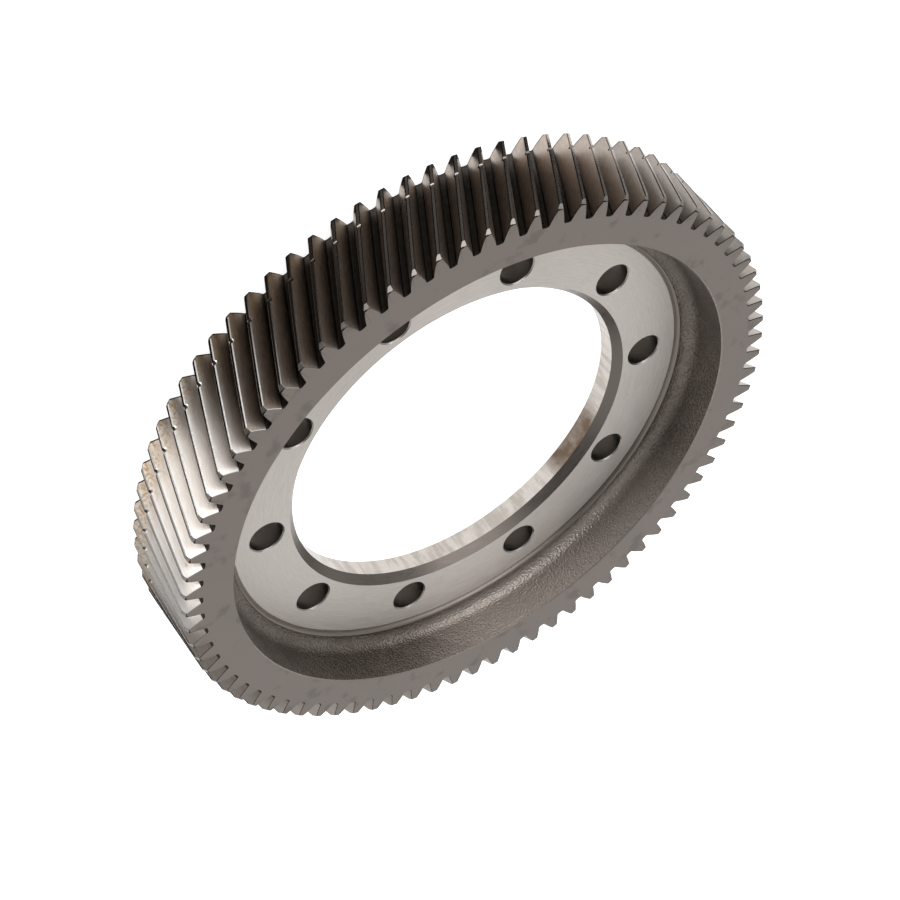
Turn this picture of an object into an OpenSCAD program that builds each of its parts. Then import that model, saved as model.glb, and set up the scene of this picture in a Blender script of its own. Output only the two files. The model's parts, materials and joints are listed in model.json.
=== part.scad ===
// Final drive gear: a helical ring gear that bolts to a flange.
// The origin is on the bore's axis, in the plane of the web's back seat.
// +Z points out of the deep front recess.

/* [Gear] */
// Diameter over the tooth tips
outside_d = 220; // [212:1:240]
// Width of the toothed rim along the axis
face_w = 34; // [30:1:42]
// Number of teeth
teeth = 81; // [73:1:89]
// Helix angle at the reference circle, right-hand
helix_a = 27.3; // [20:0.1:32]
// Pressure angle, square to a tooth
pressure_a = 17.5; // [16:0.5:20]
// Tooth height above the reference circle, in normal modules
addendum = 1.5; // [1.1:0.05:1.55]
// Tooth height below the reference circle, in normal modules
dedendum = 1.45; // [1.2:0.05:1.55]
// Radius of the fillets in the tooth gaps
root_fillet_r = 0.7; // [0.3:0.05:0.8]
// Backlash, the tooth thinning along the reference circle
backlash = 0.2; // [0:0.05:0.4]
// Angle of one tooth from the first bolt hole, at the front face
tooth_phase_a = 3.1; // [0:0.1:4.4]

/* [Tooth ends] */
// Radial height of the chamfers at the ends of the tooth tips
tip_chamfer_h = 1.1; // [0.4:0.1:1.8]
// Axial length of the chamfers at the ends of the tooth tips
tip_chamfer_w = 1.4; // [0.4:0.1:2.4]
// Radius of the half-round groove round the tips
groove_r = 0.65; // [0.3:0.05:1]
// Distance of the groove from the rim's back face
groove_back = 8.3; // [4:0.1:14]

/* [Rim and web] */
// Thickness of the rim under the teeth, at its front face
rim_t = 10.9; // [9:0.1:14]
// Depth of the front recess down to the machined seat
recess_depth = 16; // [12:0.5:17]
// Thickness of the web between its machined seats
web_t = 9; // [7:0.5:11]
// Width of the forged band from the seat to the rim's front edge
band_w = 8; // [7:0.1:10]
// Draft angle of the forged inner wall of the rim
draft_a = 7; // [4:0.5:8]
// Radius of the forged fillet between rim and web
forged_fillet_r = 5; // [3:0.5:6]
// Depth of the machined seats below the forged surface
seat_depth = 1.2; // [0.6:0.1:2]
// Width of the sloped step round the machined seats
seat_step_w = 1.5; // [0.6:0.1:2]
// Small chamfer on the mouths of the rim and the front edges of the bolt holes
edge_break = 0.4; // [0.2:0.05:0.6]

/* [Bore] */
// Diameter of the bore
bore_d = 122; // [114:1:126]
// Radial width of the bore's lead-in chamfer
lead_in_w = 2.6; // [1:0.1:3]
// Axial depth of the bore's lead-in chamfer
lead_in_h = 2.8; // [1.5:0.1:4]

/* [Bolt holes] */
// Number of bolt holes
bolt_count = 10; // [6:1:14]
// Distance from the bore's wall to the centres of the bolt holes
bolt_inset = 11; // [9.5:0.5:12]
// Diameter of each bolt hole
bolt_hole_d = 12; // [9:0.5:12.5]

/* [Hidden] */
$fn = 180;

// Levels along the axis, with the back seat at zero
web_front_z = web_t;
rim_front_z = web_t + recess_depth;
rim_back_z = rim_front_z - face_w;

// Tooth proportions, from the normal module
normal_module = outside_d / (teeth / cos(helix_a) + 2 * addendum);
tip_r = outside_d / 2;
reference_r = tip_r - addendum * normal_module;
root_r = reference_r - dedendum * normal_module;
transverse_a = atan(tan(pressure_a) / cos(helix_a));
base_r = reference_r * cos(transverse_a);
pitch_a = 360 / teeth;
half_tooth_a = pitch_a / 4 - backlash / 2 / reference_r * 180 / PI;
twist_per_mm = tan(helix_a) / reference_r * 180 / PI;

// Radii of the rim's inside and of the machined seats
recess_r = root_r - rim_t;
seat_r = recess_r - band_w;
bore_r = bore_d / 2;
bolt_circle_r = bore_r + bolt_inset;

// The toothed prism and the cutting shapes stand this far past the blank
over = 1;

// Flat facets of one flank, of one root fillet and along the helix
flank_steps = 2;
fillet_steps = 2;
twist_slices = 3;

// Sides of the round forms that are smaller than the rim
groove_faces = 24;
hole_faces = 48;

// Involute function, in degrees
function involute(a) = tan(a) * 180 / PI - a;

// Half the angle that a tooth spans at radius r
function flank_a(r) = half_tooth_a + involute(transverse_a) - involute(acos(base_r / r));

// One flank from the root fillet out past the tips, as [angle, radius]
flank_foot_r = root_r + root_fillet_r;
fillet_a = root_fillet_r / root_r * 180 / PI;
half_flank = concat(
    [for (i = [0:fillet_steps - 1]) let (t = 90 * i / fillet_steps)
        [flank_a(flank_foot_r) + fillet_a * (1 - sin(t)), root_r + root_fillet_r * (1 - cos(t))]],
    [for (i = [0:flank_steps]) let (r = flank_foot_r + (tip_r + over - flank_foot_r) * i / flank_steps)
        [flank_a(r), r]]
);

// A whole tooth, from its low-angle root round to its high-angle root
tooth = concat(
    [for (p = half_flank) [-p[0], p[1]]],
    [for (i = [len(half_flank) - 1:-1:0]) half_flank[i]]
);

gear_outline = [
    for (i = [0:teeth - 1]) for (p = tooth)
        let (a = tooth_phase_a + i * pitch_a + p[0]) p[1] * [cos(a), sin(a)]
];

// Section of the blank's outside, with tip chamfers and the tip groove
module outer_section() {
    difference() {
        polygon([
            [bore_r - over, rim_back_z],
            [tip_r - tip_chamfer_h, rim_back_z],
            [tip_r, rim_back_z + tip_chamfer_w],
            [tip_r, rim_front_z - tip_chamfer_w],
            [tip_r - tip_chamfer_h, rim_front_z],
            [bore_r - over, rim_front_z]
        ]);
        translate([tip_r, rim_back_z + groove_back]) circle(r = groove_r, $fn = groove_faces);
    }
}

// Section of a forged recess that opens towards +Y, with its mouth at depth
// above its floor: a drafted wall, a fillet and a chamfered mouth
module forged_recess_section(depth) {
    foot_r = recess_r - depth * tan(draft_a);
    reach = forged_fillet_r * tan((90 - draft_a) / 2);
    tangent = [foot_r + reach * sin(draft_a), reach * cos(draft_a)];
    polygon([
        [bore_r - over, 0],
        [foot_r - reach, 0],
        tangent,
        [recess_r, depth],
        [recess_r, depth + over],
        [bore_r - over, depth + over]
    ]);
    intersection() {
        translate([foot_r - reach, forged_fillet_r]) circle(r = forged_fillet_r);
        polygon([[foot_r - reach, 0], [foot_r, 0], tangent]);
    }
    polygon([
        [recess_r - edge_break * tan(draft_a), depth - edge_break],
        [recess_r + edge_break, depth],
        [recess_r, depth + over]
    ]);
}

// Section of a machined seat with its sloped step, cut from its floor upwards
module seat_section() {
    polygon([
        [bore_r - over, 0],
        [seat_r, 0],
        [seat_r + seat_step_w, seat_depth],
        [bore_r - over, seat_depth]
    ]);
}

// Section of the bore, with its lead-in chamfer in front
module bore_section() {
    polygon([
        [0, -over],
        [bore_r, -over],
        [bore_r, web_front_z - lead_in_h],
        [bore_r + lead_in_w, web_front_z],
        [bore_r + lead_in_w, web_front_z + over],
        [0, web_front_z + over]
    ]);
}

// Turned and forged blank, before its teeth are cut
module blank() {
    front_floor_z = web_front_z + seat_depth;
    back_floor_z = -seat_depth;
    rotate_extrude()
        difference() {
            outer_section();
            translate([0, front_floor_z]) forged_recess_section(rim_front_z - front_floor_z);
            translate([0, back_floor_z]) mirror([0, 1]) forged_recess_section(back_floor_z - rim_back_z);
            translate([0, web_front_z]) seat_section();
            mirror([0, 1]) seat_section();
            bore_section();
        }
}

// Helical teeth as one twisted prism, longer than the rim at both ends
module toothed_prism() {
    length = face_w + 2 * over;
    twist = twist_per_mm * length;
    translate([0, 0, rim_back_z - over])
        rotate(twist_per_mm * over - twist)
            linear_extrude(height = length, twist = -twist, slices = twist_slices)
                polygon(gear_outline);
}

// Bolt holes through the web, with their front edges broken
module bolt_holes() {
    hole_r = bolt_hole_d / 2;
    for (i = [0:bolt_count - 1])
        rotate(i * 360 / bolt_count)
            translate([bolt_circle_r, 0, 0])
                rotate_extrude($fn = hole_faces)
                    polygon([
                        [0, -over],
                        [hole_r, -over],
                        [hole_r, web_front_z - edge_break],
                        [hole_r + edge_break + over, web_front_z + over],
                        [0, web_front_z + over]
                    ]);
}

// The drilled blank with its teeth cut
module final_drive_gear() {
    color("dimgray")
        intersection() {
            difference() {
                blank();
                bolt_holes();
            }
            toothed_prism();
        }
}

final_drive_gear();
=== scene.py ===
import json

import bpy
import numpy as np
from mathutils import Matrix, Vector


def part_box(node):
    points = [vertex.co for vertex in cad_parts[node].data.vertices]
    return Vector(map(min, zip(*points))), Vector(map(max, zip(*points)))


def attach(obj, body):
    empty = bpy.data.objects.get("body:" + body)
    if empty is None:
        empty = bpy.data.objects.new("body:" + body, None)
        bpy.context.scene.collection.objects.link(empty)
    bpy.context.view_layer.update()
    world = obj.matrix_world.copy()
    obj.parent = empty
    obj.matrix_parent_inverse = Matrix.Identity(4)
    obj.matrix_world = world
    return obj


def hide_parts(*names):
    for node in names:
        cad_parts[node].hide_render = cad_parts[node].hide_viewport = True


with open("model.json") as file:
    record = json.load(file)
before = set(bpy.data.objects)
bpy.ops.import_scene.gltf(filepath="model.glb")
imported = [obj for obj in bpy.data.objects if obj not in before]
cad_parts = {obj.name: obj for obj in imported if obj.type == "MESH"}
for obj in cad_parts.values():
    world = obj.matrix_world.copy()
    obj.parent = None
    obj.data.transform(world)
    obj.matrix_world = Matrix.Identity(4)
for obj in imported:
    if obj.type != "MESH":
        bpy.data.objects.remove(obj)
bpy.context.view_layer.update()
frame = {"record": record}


# CAMERA
# A long lens looks on the gear's front from 33 degrees above the plane of its face. The camera is
# rolled, so that the gear hangs in the frame as it does where it stands on its teeth.
MM = 0.001
scene = bpy.context.scene
spot = np.array([711.135, 57.835, 472.634])
target = np.array([-0.498, 4.381, 9.000])
roll = np.radians(140.9479)


def camera_axes(spot, target, roll):
    """Right, up and forward of a camera that looks from a spot at a target and is turned about
    its own line of sight."""
    forward = (target - spot) / np.linalg.norm(target - spot)
    level = np.cross(forward, [0.0, 0.0, 1.0])
    level = level / np.linalg.norm(level)
    upright = np.cross(level, forward)
    right = np.cos(roll) * level + np.sin(roll) * upright
    return right, np.cross(right, forward), forward


right, up, forward = camera_axes(spot, target, roll)
camera_data = bpy.data.cameras.new("camera")
camera_data.lens = 104.980
camera_data.sensor_width = 36.0
camera_data.clip_start = 0.01
camera_data.clip_end = 20.0
camera = bpy.data.objects.new("camera", camera_data)
scene.collection.objects.link(camera)
camera.matrix_world = Matrix((
    (right[0], up[0], -forward[0], spot[0] * MM),
    (right[1], up[1], -forward[1], spot[1] * MM),
    (right[2], up[2], -forward[2], spot[2] * MM),
    (0.0, 0.0, 0.0, 1.0)))
scene.camera = camera


# TOOTHED RIM
# The rim is the outside of one forged steel ring. Its 81 right-hand teeth are cut and then
# ground, so their flanks are smooth, while tips and end chamfers are turned.
box_low, box_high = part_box("final_drive_gear")
tip_r = round(box_high[0] / MM, 2)
face_back_z = round(box_low[2] / MM, 2)
face_front_z = round(box_high[2] / MM, 2)
teeth = 81
helix = np.radians(27.3)
pressure = np.radians(17.5)
addendum, dedendum = 1.5, 1.45
backlash = 0.2
root_fillet = 0.7
first_tooth = np.radians(3.1)
normal_module = 2 * tip_r / (teeth / np.cos(helix) + 2 * addendum)
pitch_r = tip_r - addendum * normal_module
root_r = pitch_r - dedendum * normal_module
transverse = np.arctan(np.tan(pressure) / np.cos(helix))
base_r = pitch_r * np.cos(transverse)
pitch_angle = 2 * np.pi / teeth
half_tooth = pitch_angle / 4 - backlash / 2 / pitch_r
twist_per_mm = np.tan(helix) / pitch_r

tip_chamfer_high, tip_chamfer_long = 1.1, 1.4
groove_z, groove_radius = face_back_z + 8.3, 0.65

# A height that is clear of the groove and of both ends
plain_z = 5.0

# Broken tip edges on both sides of a tooth: how far under the tip they start, and how far from
# the flank they end. Both sizes fall to a share within a short reach of the tooth's ends.
low_break, high_break = np.array([0.35, 0.10]), np.array([0.26, 0.26])
end_reach, end_share = 1.0, 0.3

# Broken edges at the tooth ends, for flanks that meet the end at a sharp and at a blunt angle
acute_edge, blunt_edge = 0.26, 0.12


def involute(angle):
    """Involute function: tangent of the angle less the angle."""
    return np.tan(angle) - angle


def half_width(radius):
    """Half the angle that a tooth spans at a radius: the involute flank's angle there."""
    return half_tooth + involute(transverse) - involute(np.arccos(base_r / radius))


def blank_radius(z):
    """Radius of the turned blank: full, less the end chamfers and the half-round groove."""
    from_end = np.minimum(z - face_back_z, face_front_z - z)
    chamfer = tip_chamfer_high * np.clip(1 - from_end / tip_chamfer_long, 0, 1)
    groove = np.sqrt(np.clip(groove_radius ** 2 - (z - groove_z) ** 2, 0, None))
    return tip_r - np.maximum(chamfer, groove)


def half_tooth_outline(top, drop, inset):
    """Half a tooth as angles from its middle and radii: half a gap, a quarter-round root fillet,
    the involute flank, then a broken tip edge that starts a drop under the tip and ends an inset
    from the flank."""
    foot = root_r + root_fillet
    sweep = np.radians(np.array([0.0, 30.0, 60.0]))
    fillet_angle = half_width(foot) + root_fillet / root_r * (1 - np.sin(sweep))
    fillet_radius = root_r + root_fillet * (1 - np.cos(sweep))
    flank_radius = foot + (top - drop - foot) * np.array([0.0, 0.2, 0.4, 0.6, 0.8, 1.0])
    land = half_width(top) - inset / top
    angles = np.concatenate([[pitch_angle / 2], fillet_angle, half_width(flank_radius),
                             [land, land / 3]])
    return angles, np.concatenate([[root_r], fillet_radius, flank_radius, [top, top]])


def tooth_outline(z):
    """Points round one tooth at height z, as angles from the tooth's middle and radii: one half
    mirrored, then the other half backwards from the tip to the gap."""
    top = blank_radius(z)
    share = 1.0 if face_back_z + end_reach < z < face_front_z - end_reach else end_share
    low_angles, low_radii = half_tooth_outline(top, *(share * low_break))
    high_angles, high_radii = half_tooth_outline(top, *(share * high_break))
    return (np.concatenate([-low_angles, high_angles[:0:-1]]),
            np.concatenate([low_radii, high_radii[:0:-1]]))


def rim_outline(z):
    """The tooth's points repeated round the rim and turned by the helix at height z, as angles
    and radii."""
    angles, radii = tooth_outline(z)
    middles = first_tooth + pitch_angle * np.arange(teeth) + twist_per_mm * (z - face_front_z)
    angles = (middles[:, None] + angles[None]).ravel()
    return angles, np.tile(radii, teeth)


def ring(angles, radii, z):
    """Points of one closed ring, from angles and radii to x, y, z."""
    z = np.broadcast_to(np.asarray(z, float), np.shape(angles))
    return np.stack([radii * np.cos(angles), radii * np.sin(angles), z], -1)


def rim_ring(z):
    """The rim's outline at height z, as points."""
    return ring(*rim_outline(z), z)


def drawn_in(points, depth):
    """A flat closed ring moved into the metal by a depth at each point, square to its edge."""
    along = np.roll(points, -1, 0) - np.roll(points, 1, 0)
    along = along / np.linalg.norm(along, axis=1, keepdims=True)
    inward = np.stack([-along[:, 1], along[:, 0], np.zeros(len(points))], -1)
    return points + inward * depth[:, None]


def acute_points(sharp_side):
    """Which points of the rim's outline lie on the flanks that meet an end at a sharp angle."""
    angles, radii = tooth_outline(plain_z)
    return np.tile((radii > root_r + 0.3 * root_fillet) & (np.sign(angles) == sharp_side), teeth)


def end_edge(face_z, sharp_side):
    """The two rings of the broken edge at one end of the teeth: the ring in the end face is
    drawn in by the width of the edge, and the ring on the teeth lies as far down the tooth."""
    acute = acute_points(sharp_side)
    down = np.sign(0.5 * (face_back_z + face_front_z) - face_z)
    on_teeth = np.where(acute[:, None], rim_ring(face_z + down * acute_edge),
                        rim_ring(face_z + down * blunt_edge))
    return drawn_in(rim_ring(face_z), np.where(acute, acute_edge, blunt_edge)), on_teeth


# The surfaces of the ring, each as points, faces and the name of a finish for each face
bands = []


def grid_faces(rows, columns, flip):
    """Quads of a grid that closes round its columns, as indices into its flat points."""
    i = np.arange(rows - 1)[:, None] * columns
    j = np.arange(columns)[None]
    k = (j + 1) % columns
    quads = np.stack([i + j, i + k, i + columns + k, i + columns + j], -1).reshape(-1, 4)
    return quads[:, ::-1] if flip else quads


def add_band(rows, finish, flip=False):
    """Adds a stack of closed rings of equal length as one band of quads. The finish is a name,
    or one name for each column of quads."""
    rows = np.asarray(rows)
    quads = grid_faces(rows.shape[0], rows.shape[1], flip)
    names = np.broadcast_to(np.asarray(finish), (rows.shape[0] - 1, rows.shape[1])).ravel()
    bands.append((rows.reshape(-1, 3), quads, names))


# Heights of the rings of points on the teeth: back chamfer, groove, plain length, front chamfer
groove_turn = np.radians(np.arange(0, 181, 22.5))
levels = np.concatenate([
    face_back_z + np.array([0.5, tip_chamfer_long, 4.5]),
    groove_z - groove_radius * np.cos(groove_turn),
    [3.0, 8.0, 13.0, 18.0],
    face_front_z - np.array([tip_chamfer_long, 0.8])])
back_edge, back_teeth = end_edge(face_back_z, -1)
front_edge, front_teeth = end_edge(face_front_z, 1)
rim_rows = [back_teeth] + [rim_ring(z) for z in levels] + [front_teeth]

# The finish of each column of quads comes from where it lies on the tooth
tooth_radii = tooth_outline(plain_z)[1]
on_land = tooth_radii == tip_r
on_tip = on_land & np.roll(on_land, -1)
on_break = ~on_tip & (on_land | np.roll(on_land, -1))
in_root = tooth_radii < root_r + 0.99 * root_fillet
in_root = in_root | np.roll(in_root, -1)
low_side = np.arange(len(on_tip)) < len(on_tip) // 2
flank_columns = np.where(in_root, "tooth_root", "tooth_flank")
tooth_columns = np.where(on_tip, "tooth_tip", np.where(on_break, "tip_break", flank_columns))
end_columns = np.where(on_tip | on_break, "tip_chamfer", flank_columns)
# The front edges of one side's flanks take the tip break's finish, with its painted highlight and
# painted dark.
front_columns = np.where(low_side & ~in_root & ~on_tip & ~on_break, "tip_break", "tooth_edge")
add_band(rim_rows[:2], "tooth_edge")
add_band(rim_rows[1:3], np.tile(end_columns, teeth))
add_band(rim_rows[2:-2], np.tile(tooth_columns, teeth))
add_band(rim_rows[-3:], np.tile(end_columns, teeth))
add_band([back_edge, back_teeth], "tooth_edge")
add_band([front_teeth, front_edge], np.tile(front_columns, teeth))

finishes = {}


def new_finish(name, colour, roughness, anisotropic=0.0):
    """A bare steel finish. What is the same all over is set here on the shader's own sockets."""
    material = bpy.data.materials.new(name)
    material.use_nodes = True
    shader = material.node_tree.nodes["Principled BSDF"]
    shader.inputs["Metallic"].default_value = 1.0
    shader.inputs["Base Color"].default_value = (*colour, 1.0)
    shader.inputs["Roughness"].default_value = roughness
    shader.inputs["Anisotropic"].default_value = anisotropic
    finishes[name] = material
    return material.node_tree, shader


def add(tree, kind, inputs, output=0, **settings):
    """Adds a shader node, sets its options, feeds its inputs from values or from other nodes,
    and returns one of its outputs."""
    node = tree.nodes.new("ShaderNode" + kind)
    for option, value in settings.items():
        setattr(node, option, value)
    for key, value in inputs.items():
        if isinstance(value, bpy.types.NodeSocket):
            tree.links.new(value, node.inputs[key])
        else:
            node.inputs[key].default_value = value
    return node.outputs[output]


def reckoned(tree, how, first, *others):
    """Arithmetic on two or more values, from the first to the last."""
    for other in others:
        first = add(tree, "Math", {0: first, 1: other}, operation=how)
    return first


def vector(tree, how, first, second):
    """Adds two vectors, multiplies them part by part, or scales one by a number."""
    return add(tree, "VectorMath", {0: first, "Scale" if how == "SCALE" else 1: second},
               operation=how)


def graded(tree, value, low, high, to_low=0.0, to_high=1.0):
    """Carries a value smoothly from one range to another and holds it at both ends."""
    return add(tree, "MapRange", {"Value": value, "From Min": low, "From Max": high,
                                  "To Min": to_low, "To Max": to_high},
               interpolation_type="SMOOTHSTEP")


def spread(tree, noise, to_low=0.0, to_high=1.0):
    """Spreads the range that a noise mostly keeps to over another range."""
    return graded(tree, noise, 0.3, 0.7, to_low, to_high)


def blended(tree, amount, first, second):
    """Mixes two colours by an amount from 0 to 1."""
    colours = [(*c, 1.0) if isinstance(c, tuple) else c for c in (first, second)]
    return add(tree, "Mix", {0: amount, 6: colours[0], 7: colours[1]}, 2, data_type="RGBA")


def gear_place(tree):
    """Where a point lies on the gear, in mm: its place, its distance from the axis, its
    direction from the axis as a vector of length one, and its height."""
    place = vector(tree, "SCALE", add(tree, "TexCoord", {}, "Object"), 1 / MM)
    flat = vector(tree, "MULTIPLY", place, (1.0, 1.0, 0.0))
    radius = add(tree, "VectorMath", {0: flat}, "Value", operation="LENGTH")
    outward = add(tree, "VectorMath", {0: flat}, operation="NORMALIZE")
    height = add(tree, "SeparateXYZ", {0: place}, "Z")
    return place, radius, outward, height


def facing(tree, direction, azimuth):
    """How far a direction points towards an azimuth in degrees: the cosine between them."""
    turn = np.radians(azimuth)
    return add(tree, "VectorMath", {0: direction, 1: (np.cos(turn), np.sin(turn), 0.0)}, "Value",
               operation="DOT_PRODUCT")


def cloud(tree, place, size, detail=2.0):
    """Soft lumps of a size in mm, as a value about 0.5."""
    return add(tree, "TexNoise", {"Vector": place, "Scale": 1.0 / size, "Detail": detail})


def tool_marks(tree, outward, travel, pitch, arc=14.0):
    """Lines that a lathe leaves: noise that changes within a pitch in mm across the cut, and
    slowly round the gear, in arcs of about 110 mm over the arc number."""
    around = vector(tree, "SCALE", outward, arc)
    across = add(tree, "CombineXYZ", {2: reckoned(tree, "DIVIDE", travel, pitch)})
    return add(tree, "TexNoise", {"Vector": vector(tree, "ADD", around, across), "Scale": 1.0,
                                  "Detail": 3.0})


def raised(tree, shader, height, depth):
    """Gives a finish its relief, with a depth in mm for a height from 0 to 1."""
    relief = add(tree, "Bump", {"Height": height, "Distance": depth * MM, "Strength": 1.0})
    tree.links.new(relief, shader.inputs["Normal"])


def feed(tree, shader, **values):
    """Feeds a finish's sockets from other nodes; an underscore stands for a space."""
    for name, value in values.items():
        tree.links.new(value, shader.inputs[name.replace("_", " ")])


def patterned(tree, shader, pattern, smooth, rough, dark, light, depth):
    """Lets one pattern set a whole finish: how rough it is, its colour and its relief."""
    feed(tree, shader, Roughness=spread(tree, pattern, smooth, rough),
         Base_Color=blended(tree, pattern, dark, light))
    raised(tree, shader, pattern, depth)


# Sides of the gear that finishes differ between, as azimuths in degrees: where a painted
# reflection makes the steel near-white, where it is lighter and browner, and where painted shade
# makes it darkest
painted_reflection_side, brown_side, painted_shade_side = 53.0, -10.0, 160.0
painted_reflection_steel, brown_and_sheen_steel = (0.93, 0.89, 0.85), (0.52, 0.445, 0.385)
oily_steel, painted_shade_steel = (0.32, 0.290, 0.267), (0.17, 0.150, 0.136)
brown_side_tone, tan_stain = (0.13, 0.108, 0.090), (0.52, 0.34, 0.15)

# Ground flanks: steel with faint grinding lines along the teeth. Their colour carries painted
# light: near-white steel on one side as a painted reflection, painted shade darkest on another
# side, and lighter, browner steel on a third. Tan stains of dried oil start at the back ends and
# at a few tips in front.
tree, shader = new_finish("tooth_flank", (0.60, 0.56, 0.52), 0.27)
place, radius, outward, height = gear_place(tree)
untwisted = add(tree, "VectorRotate", {
    "Vector": vector(tree, "MULTIPLY", place, (1.0, 1.0, 0.0)),
    "Angle": reckoned(tree, "MULTIPLY", height, -twist_per_mm)}, rotation_type="Z_AXIS")
along = add(tree, "CombineXYZ", {2: reckoned(tree, "MULTIPLY", height, 0.12)})
grinding = add(tree, "TexNoise", {"Vector": vector(tree, "ADD", untwisted, along), "Scale": 3.0,
                                  "Detail": 3.0})
grain = cloud(tree, place, 0.4, 3.0)
to_reflection_side = facing(tree, outward, painted_reflection_side)
reflection_mask = graded(tree, to_reflection_side, 0.895, 0.955)
# Painted light by side: painted shade, lighter brown steel, then a near-white painted reflection
painted_light_tint = blended(tree, graded(tree, facing(tree, outward, painted_shade_side), 0.80, 0.95), oily_steel,
               painted_shade_steel)
painted_light_tint = blended(tree, graded(tree, facing(tree, outward, brown_side), 0.6, 0.9), painted_light_tint, brown_and_sheen_steel)
painted_light_tint = blended(tree, graded(tree, to_reflection_side, 0.45, 0.80, 0.0, 0.45), painted_light_tint, brown_and_sheen_steel)
painted_light_tint = blended(tree, reflection_mask, painted_light_tint, painted_reflection_steel)
lines = blended(tree, reflection_mask, (0.16, 0.135, 0.115), (0.66, 0.61, 0.56))
painted_light_tint = blended(tree, spread(tree, grinding, 0.35, 0.0), painted_light_tint, lines)
mottle = graded(tree, cloud(tree, place, 0.9, 4.0), 0.42, 0.62, 0.25, 1.0)
stained_tip = graded(tree, radius, 105.8, 108.6)
stain = reckoned(tree, "MULTIPLY", graded(tree, height, -8.0, 6.0, 0.85, 0.0), stained_tip,
                 mottle, graded(tree, to_reflection_side, 0.3, 0.9, 0.06, 1.0))
spots = reckoned(tree, "MULTIPLY", graded(tree, cloud(tree, place, 5.0), 0.64, 0.72, 0.0, 0.7),
                 graded(tree, height, 14.0, 23.0, 0.0, 0.8), stained_tip)
stain = reckoned(tree, "MAXIMUM", stain, spots)
feed(tree, shader, Base_Color=blended(tree, stain, painted_light_tint, tan_stain),
     Roughness=reckoned(tree, "ADD", spread(tree, grain, 0.36, 0.42),
                        reckoned(tree, "MULTIPLY", stain, 0.15)))
raised(tree, shader, grinding, 0.003)


def painted_dark(tree, outward, dark):
    """A painted dark for the shade the steel reflects, lighter brown on one side of the gear."""
    return blended(tree, graded(tree, facing(tree, outward, brown_side), 0.6, 0.9), dark,
                   brown_side_tone)


# Turned tips with lathe lines round the gear, painted near-black about one side as a painted dark
# reflection.
tree, shader = new_finish("tooth_tip", (0.40, 0.37, 0.34), 0.26)
place, radius, outward, height = gear_place(tree)
marks = tool_marks(tree, outward, height, 0.35)
tint = blended(tree, cloud(tree, place, 2.5, 4.0), (0.34, 0.30, 0.27), (0.46, 0.43, 0.40))
# Painted dark reflection on the tips about one side of the gear
tint = blended(tree, graded(tree, facing(tree, outward, painted_reflection_side + 5.0), 0.45, 0.65), tint,
               painted_dark(tree, outward, (0.040, 0.032, 0.028)))
feed(tree, shader, Roughness=spread(tree, marks, 0.20, 0.32), Base_Color=tint)
raised(tree, shader, marks, 0.006)

# Broken tip edges: a painted highlight, near-white, on one side of the gear, and a painted dark
# elsewhere.
tree, shader = new_finish("tip_break", (0.5, 0.47, 0.44), 0.25)
place, radius, outward, height = gear_place(tree)
rub = cloud(tree, place, 0.8, 3.0)
tint = blended(tree, graded(tree, facing(tree, outward, painted_reflection_side - 5.0), 0.84, 0.93),
               painted_dark(tree, outward, (0.035, 0.029, 0.025)), (0.97, 0.94, 0.90))
feed(tree, shader, Roughness=spread(tree, rub, 0.16, 0.26), Base_Color=tint)
raised(tree, shader, rub, 0.004)

# Roots: not ground, and coloured near-black as painted shade at the bottoms of the gaps.
tree, shader = new_finish("tooth_root", (0.04, 0.034, 0.03), 0.35)
place, radius, outward, height = gear_place(tree)
patterned(tree, shader, cloud(tree, place, 1.5, 3.0), 0.30, 0.45, (0.035, 0.029, 0.025),
          (0.085, 0.073, 0.063), 0.01)

# Turned end chamfers of the tips.
tree, shader = new_finish("tip_chamfer", (0.24, 0.22, 0.205), 0.3)
place, radius, outward, height = gear_place(tree)
patterned(tree, shader, tool_marks(tree, outward, height, 0.3), 0.24, 0.36,
          (0.20, 0.182, 0.168), (0.28, 0.26, 0.24), 0.006)

# Broken edges at the tooth ends: brushed off after cutting, and coloured near-black as a painted
# dark reflection.
tree, shader = new_finish("tooth_edge", (0.02, 0.017, 0.015), 0.45)
place, radius, outward, height = gear_place(tree)
patterned(tree, shader, cloud(tree, place, 0.6, 3.0), 0.35, 0.6, (0.010, 0.008, 0.007),
          (0.030, 0.025, 0.022), 0.02)


# TURNED END FACES OF THE RIM
# Both ends of the rim are faced flat on a lathe, from the teeth in to the mouths of the
# forged recesses, and carry fine concentric tool marks.
round_count = 540
round_angles = 2 * np.pi * np.arange(round_count) / round_count
mouth_r = 92.2
mouth_edge = 0.3
land_r = root_r - 0.8
inner_land_r = root_r - 1.8


def bridge(outer_angles, inner_angles, flip):
    """Triangles between two closed rings with different numbers of points: the angles of both
    are merged in order, and each step forward on either ring makes one triangle."""
    n, m = len(outer_angles), len(inner_angles)
    start = outer_angles[0]
    out_turn = np.mod(outer_angles - start, 2 * np.pi)
    in_turn = np.mod(inner_angles - start, 2 * np.pi)
    in_order = np.argsort(in_turn)
    steps = np.concatenate([np.append(out_turn[1:], 2 * np.pi), in_turn[in_order]])
    on_outer = np.concatenate([np.ones(n, bool), np.zeros(m, bool)])
    on_outer = on_outer[np.argsort(steps, kind="stable")]
    i = np.cumsum(on_outer) - on_outer
    j = np.cumsum(~on_outer) - (~on_outer)
    here, there = i % n, n + in_order[(j - 1) % m]
    ahead = np.where(on_outer, (i + 1) % n, n + in_order[j % m])
    triangles = np.stack([here, ahead, there], -1)
    return triangles[:, ::-1] if flip else triangles


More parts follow.
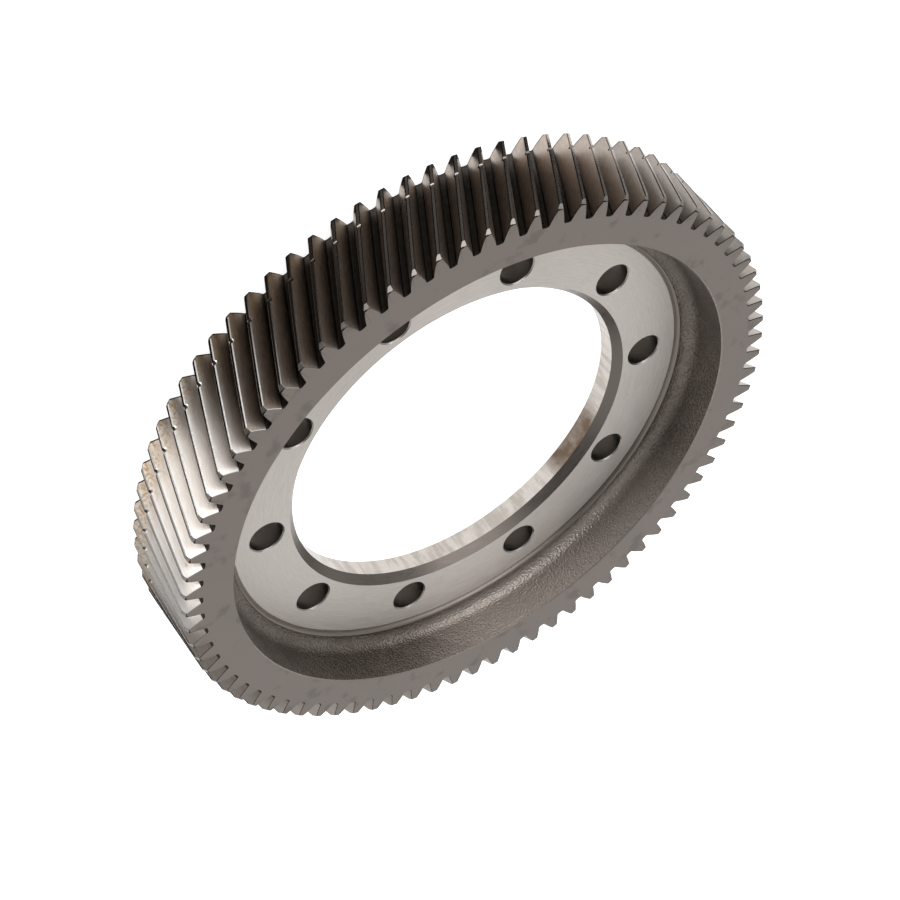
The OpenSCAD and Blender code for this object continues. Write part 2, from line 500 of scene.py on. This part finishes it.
def end_face(edge, z, flip):
    """A rim end face: quads from the teeth to a ring under the roots, a bridge to a ring of
    even points, then two wide rings to the mouth."""
    angles = rim_outline(z)[0]
    land = ring(angles, np.full(len(angles), land_r), z)
    add_band([edge, land], "rim_face", flip)
    first = ring(round_angles, np.full(round_count, inner_land_r), z)
    triangles = bridge(angles, round_angles, flip)
    bands.append((np.concatenate([land, first]), triangles, np.full(len(triangles), "rim_face")))
    inner = [ring(round_angles, np.full(round_count, r), z)
             for r in (inner_land_r, 0.5 * (inner_land_r + mouth_r), mouth_r + mouth_edge)]
    add_band(inner, "rim_face", flip)


end_face(front_edge, face_front_z, False)
end_face(back_edge, face_back_z, True)

# The faces are grey-brown from oil, with fine lathe lines, a few smudges and rubbed places.
tree, shader = new_finish("rim_face", (0.19, 0.168, 0.152), 0.34)
place, radius, outward, height = gear_place(tree)
marks = tool_marks(tree, outward, radius, 0.30)
stretched = vector(tree, "ADD", vector(tree, "SCALE", outward, 90.0),
                   add(tree, "CombineXYZ", {2: radius}))
smudges = graded(tree, cloud(tree, stretched, 7.0, 4.0), 0.56, 0.70, 0.0, 0.45)
tint = blended(tree, cloud(tree, place, 16.0, 3.0), (0.182, 0.166, 0.153), (0.200, 0.168, 0.150))
tint = blended(tree, spread(tree, marks, 0.0, 0.25), tint, (0.235, 0.206, 0.187))
tint = blended(tree, smudges, tint, (0.105, 0.092, 0.085))
feed(tree, shader, Base_Color=tint, Roughness=spread(tree, marks, 0.28, 0.42))
raised(tree, shader, marks, 0.006)

# The broken edges of mouths, holes and seats were cut last, so they are brighter than the faces
# beside them. The seat's edge is near-white, partly as a painted highlight for the light its small
# bevel catches.
for name, colour, smooth, rough in (("mouth_edge", (0.30, 0.265, 0.235), 0.25, 0.45),
                                    ("hole_edge", (0.36, 0.33, 0.305), 0.25, 0.40),
                                    ("bright_edge", (0.72, 0.68, 0.63), 0.22, 0.36)):
    tree, shader = new_finish(name, colour, 0.3)
    place, radius, outward, height = gear_place(tree)
    rub = cloud(tree, place, 0.8, 3.0)
    feed(tree, shader, Roughness=spread(tree, rub, smooth, rough),
         Base_Color=blended(tree, spread(tree, rub, 0.0, 0.5), colour,
                            tuple(0.6 * c for c in colour)))
    raised(tree, shader, rub, 0.01)


# FORGED RECESSES
# Between the rim and the machined seats the forging's own skin is left: a drafted wall and a
# wide fillet, with the coarse, shot-blasted grain of a hot-forged part.
mounts = {mount["name"]: mount for mount in frame["record"]["mounts"]}
seat_front_z = round(mounts["front_seat"]["pos_m"][2] / MM, 2)
seat_back_z = round(mounts["back_seat"]["pos_m"][2] / MM, 2)
draft = np.radians(7.0)
forged_fillet = 5.0
seat_deep = 1.2
seat_r = 84.15

# Section of the seat's edge, from the recess's floor in to the seat, as radii and heights over
# that floor: a tool groove, a rounded bead, and a relief groove at the foot of the step
seat_edge_profile = np.array([
    [86.50, 0.0], [86.37, -0.06], [86.21, -0.24], [86.05, -0.20], [85.91, 0.0], [85.73, 0.06],
    [85.47, -0.04], [85.17, -0.27], [84.89, -0.60], [84.71, -0.93], [84.61, -1.22],
    [84.55, -1.38], [84.43, -1.38], [seat_r, -seat_deep]])


def lumps(angle, travel, radius):
    """Slow unevenness of the forged skin: a sum of sine waves in two directions, whose
    lengths shrink and heights fade from one wave to the next."""
    waves = np.random.default_rng(7)
    total = np.zeros(np.broadcast(angle, travel).shape)
    for step in range(14):
        length = 22.0 * 0.86 ** step
        around = np.round(2 * np.pi * radius / length * waves.uniform(0.5, 1.3))
        across = 2 * np.pi / length * waves.uniform(0.5, 1.3)
        total = total + 0.93 ** step * np.sin(around * angle + across * travel
                                              + waves.uniform(0, 2 * np.pi))
    return total / 4.0


def recess(mouth_z, floor_z, flip):
    """A forged recess as a profile carried round the axis: broken mouth edge, drafted wall,
    fillet arc and short floor, then the edge of the machined seat. The forged skin between is
    swelled along its own normal by the lumps."""
    side = np.sign(mouth_z - floor_z)
    deep = abs(mouth_z - floor_z)
    foot_r = mouth_r - deep * np.tan(draft)
    reach = forged_fillet * np.tan((np.pi / 2 - draft) / 2)
    centre = np.array([foot_r - reach, forged_fillet])
    turn = np.linspace(-draft, -np.pi / 2, 13)
    arc = centre + forged_fillet * np.stack([np.cos(turn), np.sin(turn)], -1)
    wall_top = np.array([mouth_r - mouth_edge * np.tan(draft), deep - mouth_edge])
    wall = wall_top + (arc[0] - wall_top) * np.linspace(0, 1, 10)[:-1, None]
    mouth = np.array([mouth_r + mouth_edge, deep])
    skin = np.vstack([mouth, wall, arc])
    profile = np.vstack([skin, seat_edge_profile])
    travel = np.append(0, np.cumsum(np.linalg.norm(np.diff(profile, axis=0), axis=1)))
    across = np.gradient(profile, axis=0)
    across = across / np.linalg.norm(across, axis=1, keepdims=True)
    normal = np.stack([across[:, 1], -across[:, 0]], -1)
    last = len(skin)
    is_skin = np.ones(len(profile))
    is_skin[:2] = 0.0
    is_skin[last:] = 0.0
    swell = 0.07 * is_skin[:, None] * lumps(round_angles[None], travel[:, None] + mouth_z, 90.0)
    radii = profile[:, 0:1] + normal[:, 0:1] * swell
    heights = floor_z + side * (profile[:, 1:2] + normal[:, 1:2] * swell)
    rows = ring(round_angles[None] + 0 * radii, radii, heights)
    add_band(rows[:2], "mouth_edge", flip)
    add_band(rows[1:last + 1], "forged", flip)
    add_band(rows[last:-1], "seat_step", flip)
    add_band(rows[-2:], "bright_edge", flip)


recess(face_front_z, seat_front_z + seat_deep, False)
recess(face_back_z, seat_back_z - seat_deep, True)

# The forged skin is dark brown-grey with an orange-peel grain of about 0.8 mm, whose bumps are
# rubbed brighter than its pits. On one side the whole skin is brighter: painted light, for the
# side the light falls on.
tree, shader = new_finish("forged", (0.14, 0.12, 0.105), 0.4)
place, radius, outward, height = gear_place(tree)
pebbles = add(tree, "TexVoronoi", {"Vector": place, "Scale": 1.3, "Smoothness": 0.5}, "Distance",
              feature="SMOOTH_F1")
grain = cloud(tree, place, 0.55, 3.0)
peel = reckoned(tree, "ADD", reckoned(tree, "MULTIPLY", pebbles, -0.8), grain)
soot = cloud(tree, place, 9.0, 3.0)
tint = blended(tree, graded(tree, peel, -0.15, 0.25), (0.130, 0.112, 0.099),
               (0.190, 0.165, 0.147))
tint = blended(tree, graded(tree, soot, 0.35, 0.65, 0.0, 0.5), tint, (0.115, 0.096, 0.084))
# Painted light: the skin towards 183 degrees is brighter
tint = blended(tree, graded(tree, facing(tree, outward, 183.0), 0.76, 0.97, 0.0, 0.85), tint,
               blended(tree, grain, (0.26, 0.228, 0.203), (0.40, 0.355, 0.32)))
feed(tree, shader, Base_Color=tint, Roughness=spread(tree, grain, 0.30, 0.42))
raised(tree, shader, peel, 0.20)

# The step down to the seat is rough-turned and oily.
tree, shader = new_finish("seat_step", (0.20, 0.175, 0.155), 0.4)
place, radius, outward, height = gear_place(tree)
patterned(tree, shader,
          tool_marks(tree, outward, reckoned(tree, "ADD", radius, height), 0.35), 0.30, 0.48,
          (0.15, 0.13, 0.113), (0.25, 0.22, 0.195), 0.010)


# MACHINED WEB
# The web is faced on both sides to seat on a flange, and drilled with ten bolt holes whose
# front edges are broken.
bore_r = mounts["bore"]["dims"]["r_mm"]
bolt_circle = mounts["bolt_circle"]["dims"]
holes = bolt_circle["count"]
hole_circle_r = bolt_circle["pcd_mm"] / 2
hole_r = bolt_circle["hole_r_mm"]
hole_break = 0.4
lead_wide, lead_high = 2.6, 2.8
side_count = 20


def hole_cell(inner_r, outer_r, z):
    """Edge of the piece of seat round one hole, as points in the hole's own order: outer arc,
    straight side, inner arc and straight side. The hole lies on the X axis."""
    half = np.pi / holes
    arc = round_count // holes
    turn = np.linspace(-half, half, arc + 1)[:-1]
    rise = np.linspace(inner_r, outer_r, side_count + 1)[:-1]
    fall = np.linspace(outer_r, inner_r, side_count + 1)[:-1]
    outer = ring(turn, np.full(arc, outer_r), z)
    left = ring(np.full(side_count, half), fall, z)
    inner = ring(-turn, np.full(arc, inner_r), z)
    right_side = ring(np.full(side_count, -half), rise, z)
    return np.concatenate([outer, left, inner, right_side])


def turned(points, angle):
    """Points turned about the gear's axis."""
    c, s = np.cos(angle), np.sin(angle)
    return points @ np.array([[c, s, 0.0], [-s, c, 0.0], [0.0, 0.0, 1.0]])


def hole_ring(cell, radius, z):
    """The circle round the hole's axis whose points face the points of the cell's edge."""
    around = np.arctan2(cell[:, 1], cell[:, 0] - hole_circle_r)
    circle = np.stack([hole_circle_r + radius * np.cos(around), radius * np.sin(around)], -1)
    return np.column_stack([circle, np.full(len(cell), z)])


front_cell = hole_cell(bore_r + lead_wide, seat_r, seat_front_z)
back_cell = hole_cell(bore_r, seat_r, seat_back_z)
front_outer = hole_ring(front_cell, hole_r + hole_break, seat_front_z)
front_middle = 0.5 * (front_cell + front_outer)
front_rim = hole_ring(front_cell, hole_r, seat_front_z - hole_break)
back_rim = hole_ring(back_cell, hole_r, seat_back_z)
for index in range(holes):
    for rows, finish in (((front_cell, front_middle, front_outer), "seat"),
                         ((front_outer, front_rim), "hole_edge"),
                         ((front_rim, back_rim), "hole_wall"),
                         ((back_rim, back_cell), "seat")):
        add_band([turned(row, index * 2 * np.pi / holes) for row in rows], finish)

# The seats are faced to a light, fine finish. Their lathe lines spread reflections across the
# cut, so the ring is bright where it is seen along the cut and darker where it is seen across.
tree, shader = new_finish("seat", (0.56, 0.52, 0.49), 0.42, 0.8)
place, radius, outward, height = gear_place(tree)
marks = tool_marks(tree, outward, radius, 0.22, 10.0)
swirls = tool_marks(tree, outward, radius, 0.8, 22.0)
specks = graded(tree, cloud(tree, place, 0.7), 0.66, 0.74, 0.0, 0.35)
tint = blended(tree, spread(tree, marks), (0.52, 0.482, 0.455), (0.62, 0.578, 0.545))
tint = blended(tree, graded(tree, swirls, 0.5, 0.75, 0.0, 0.3), tint, (0.46, 0.41, 0.37))
tint = blended(tree, specks, tint, (0.30, 0.26, 0.22))
feed(tree, shader, Base_Color=tint, Roughness=spread(tree, marks, 0.38, 0.48), Tangent=outward)
raised(tree, shader, marks, 0.005)

# The walls of the bolt holes are drilled, and coloured near-black as painted shade inside the
# holes.
tree, shader = new_finish("hole_wall", (0.10, 0.09, 0.08), 0.35)
place, radius, outward, height = gear_place(tree)
flattened = vector(tree, "MULTIPLY", place, (0.4, 0.4, 3.0))
patterned(tree, shader, cloud(tree, flattened, 1.0, 3.0), 0.28, 0.5, (0.028, 0.024, 0.020),
          (0.080, 0.069, 0.060), 0.015)


# BORE
# The bore is finish-turned to fit over a pilot and has a lead-in chamfer in front.
bore_profile = ((bore_r + lead_wide, seat_front_z), (bore_r, seat_front_z - lead_high),
                (bore_r, seat_back_z))
bore_rows = [ring(round_angles, np.full(round_count, r), z) for r, z in bore_profile]
add_band(bore_rows[:2], "lead_in")
add_band(bore_rows[1:], "bore")

# The lead-in is duller than the bore's finish-turned wall, on which a dark brown band is painted
# at one place round the bore as a painted dark reflection.
tree, shader = new_finish("lead_in", (0.15, 0.132, 0.118), 0.32)
place, radius, outward, height = gear_place(tree)
patterned(tree, shader, tool_marks(tree, outward, height, 0.30), 0.27, 0.40,
          (0.125, 0.109, 0.096), (0.18, 0.16, 0.143), 0.006)

tree, shader = new_finish("bore", (0.42, 0.39, 0.355), 0.26)
place, radius, outward, height = gear_place(tree)
marks = tool_marks(tree, outward, height, 0.35, 9.0)
# A painted dark reflection: a dark brown band down the bore at one place
painted_dark_band = reckoned(tree, "MULTIPLY", graded(tree, facing(tree, outward, 214.8), 0.969, 0.989),
               graded(tree, cloud(tree, place, 4.0), 0.30, 0.60, 0.75, 1.0))
drawn = vector(tree, "MULTIPLY", place, (1.0, 1.0, 0.25))
tint = blended(tree, graded(tree, cloud(tree, drawn, 2.6), 0.35, 0.65), (0.35, 0.32, 0.29),
               (0.47, 0.44, 0.405))
tint = blended(tree, painted_dark_band, tint, (0.115, 0.082, 0.058))
feed(tree, shader, Base_Color=tint, Roughness=spread(tree, marks, 0.20, 0.34))
raised(tree, shader, marks, 0.008)


# ONE SOLID
# All surfaces belong to the one steel ring, so they are joined into a closed mesh: points that
# lie in the same ten-thousandth of a millimetre become one.
names = list(finishes)
points = np.concatenate([band[0] for band in bands])
keys = np.round(points / 1e-4).astype(np.int64)
_, first_of, joined = np.unique(keys, axis=0, return_index=True, return_inverse=True)
joined = joined.ravel()
faces, face_finish, shift = [], [], 0
for band_points, band_faces, band_names in bands:
    faces += joined[band_faces + shift].tolist()
    face_finish.append(np.array([names.index(name) for name in band_names]))
    shift += len(band_points)
face_finish = np.concatenate(face_finish)
mesh = bpy.data.meshes.new("final_drive_ring")
mesh.from_pydata((points[first_of] * MM).tolist(), [], faces)
mesh.polygons.foreach_set("material_index", face_finish)
mesh.polygons.foreach_set("use_smooth", np.ones(len(faces), bool))
mesh.update()

# An edge is sharp where the surface turns by more than 24 degrees or the finish changes
mesh.set_sharp_from_angle(angle=np.radians(24))
corner_edge = np.empty(len(mesh.loops), np.int32)
mesh.loops.foreach_get("edge_index", corner_edge)
corner_finish = np.repeat(face_finish, [len(face) for face in faces])
low = np.full(len(mesh.edges), len(names))
high = np.full(len(mesh.edges), -1)
np.minimum.at(low, corner_edge, corner_finish)
np.maximum.at(high, corner_edge, corner_finish)
sharp = np.empty(len(mesh.edges), bool)
mesh.attributes["sharp_edge"].data.foreach_get("value", sharp)
mesh.attributes["sharp_edge"].data.foreach_set("value", sharp | (low != high))
gear = bpy.data.objects.new("final_drive_ring", mesh)
scene.collection.objects.link(gear)
for name in names:
    mesh.materials.append(finishes[name])
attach(gear, "root")
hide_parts("final_drive_gear")


# STUDIO
# The gear lies on a white floor. The side of the room behind the camera is dark, so that the
# steel has something to reflect, and one large soft box hangs there.
floor_half = 4.0
floor_mesh = bpy.data.meshes.new("floor")
floor_mesh.from_pydata([(x * floor_half, y * floor_half, face_back_z * MM)
                        for x, y in ((-1, -1), (1, -1), (1, 1), (-1, 1))], [], [(0, 1, 2, 3)])
floor = bpy.data.objects.new("floor", floor_mesh)
scene.collection.objects.link(floor)
floor_paint = bpy.data.materials.new("floor_paint")
floor_paint.use_nodes = True
tree = floor_paint.node_tree
shader = tree.nodes["Principled BSDF"]
shader.inputs["Base Color"].default_value = (0.85, 0.85, 0.85, 1.0)
shader.inputs["Roughness"].default_value = 0.9
shader.inputs["Specular IOR Level"].default_value = 0.0
shader.inputs["Emission Color"].default_value = (1.0, 1.0, 1.0, 1.0)
path = tree.nodes.new("ShaderNodeLightPath")
seen = reckoned(tree, "ADD", path.outputs["Is Camera Ray"], path.outputs["Is Glossy Ray"],
                path.outputs["Is Transmission Ray"])
feed(tree, shader, Emission_Strength=reckoned(tree, "MULTIPLY", seen, 0.86))
floor_mesh.materials.append(floor_paint)

# A black card just over the floor, seen only by the steel. It reaches under the teeth, and turns
# to grey at its one end.
card_steps, card_reach = 46, 1500.0
card_turn = np.radians(np.linspace(-88, 42, card_steps))
card_inner = np.interp(card_turn, np.radians([-52.0, -32.0]), [120.0, 106.5])
card_z = np.full(card_steps, face_back_z + 0.1)
card_points = np.concatenate([ring(card_turn, r, card_z) for r in (card_inner, card_reach)])
j = np.arange(card_steps - 1)
card_mesh = bpy.data.meshes.new("black_card")
card_mesh.from_pydata((card_points * MM).tolist(), [], np.stack(
    [j, j + card_steps, j + card_steps + 1, j + 1], -1).tolist())
card = bpy.data.objects.new("black_card", card_mesh)
scene.collection.objects.link(card)
card_paint = bpy.data.materials.new("black_card")
card_paint.use_nodes = True
tree = card_paint.node_tree
place, radius, outward, height = gear_place(tree)
grey = graded(tree, facing(tree, outward, -88.0), 0.78, 1.03, 0.045, 0.75)
feed(tree, tree.nodes["Principled BSDF"],
     Base_Color=add(tree, "CombineXYZ", {0: grey, 1: grey, 2: grey}))
card_mesh.materials.append(card_paint)
card.visible_camera = False
card.visible_diffuse = False
card.visible_shadow = False
card.visible_transmission = False

# The soft box hangs one metre from the gear and faces it.
soft_box = bpy.data.lights.new("soft_box", "AREA")
soft_box.shape = "RECTANGLE"
soft_box.size, soft_box.size_y = 0.96, 0.86
soft_box.energy = 2.05 * np.pi * soft_box.size * soft_box.size_y
soft_box_object = bpy.data.objects.new("soft_box", soft_box)
scene.collection.objects.link(soft_box_object)
box_turn, box_lift = np.radians(-33.0), np.radians(36.5)
toward = Vector((np.cos(box_turn) * np.cos(box_lift), np.sin(box_turn) * np.cos(box_lift),
                 np.sin(box_lift)))
soft_box_object.matrix_world = (Matrix.Translation(toward)
                                @ toward.to_track_quat("Z", "Y").to_matrix().to_4x4())
soft_box_object.visible_camera = False

# The room: white on the far side, and a dark grey on the camera's side that grows lighter towards
# one end. The camera itself sees white all round.
world = bpy.data.worlds.new("studio")
scene.world = world
world.use_nodes = True
tree = world.node_tree
background = tree.nodes["Background"]
direction = add(tree, "TexCoord", {}, "Generated")
dark_room = graded(tree, facing(tree, direction, -110.0), -1.0, 1.0, 0.25, 0.65)
white_room = graded(tree, facing(tree, direction, -18.3), -0.25, 0.10, 1.0, 0.0)
path = tree.nodes.new("ShaderNodeLightPath")
strength = reckoned(tree, "MAXIMUM", dark_room, white_room, path.outputs["Is Camera Ray"])
background.inputs["Color"].default_value = (1.0, 1.0, 1.0, 1.0)
tree.links.new(strength, background.inputs["Strength"])

scene.view_settings.view_transform = "Standard"
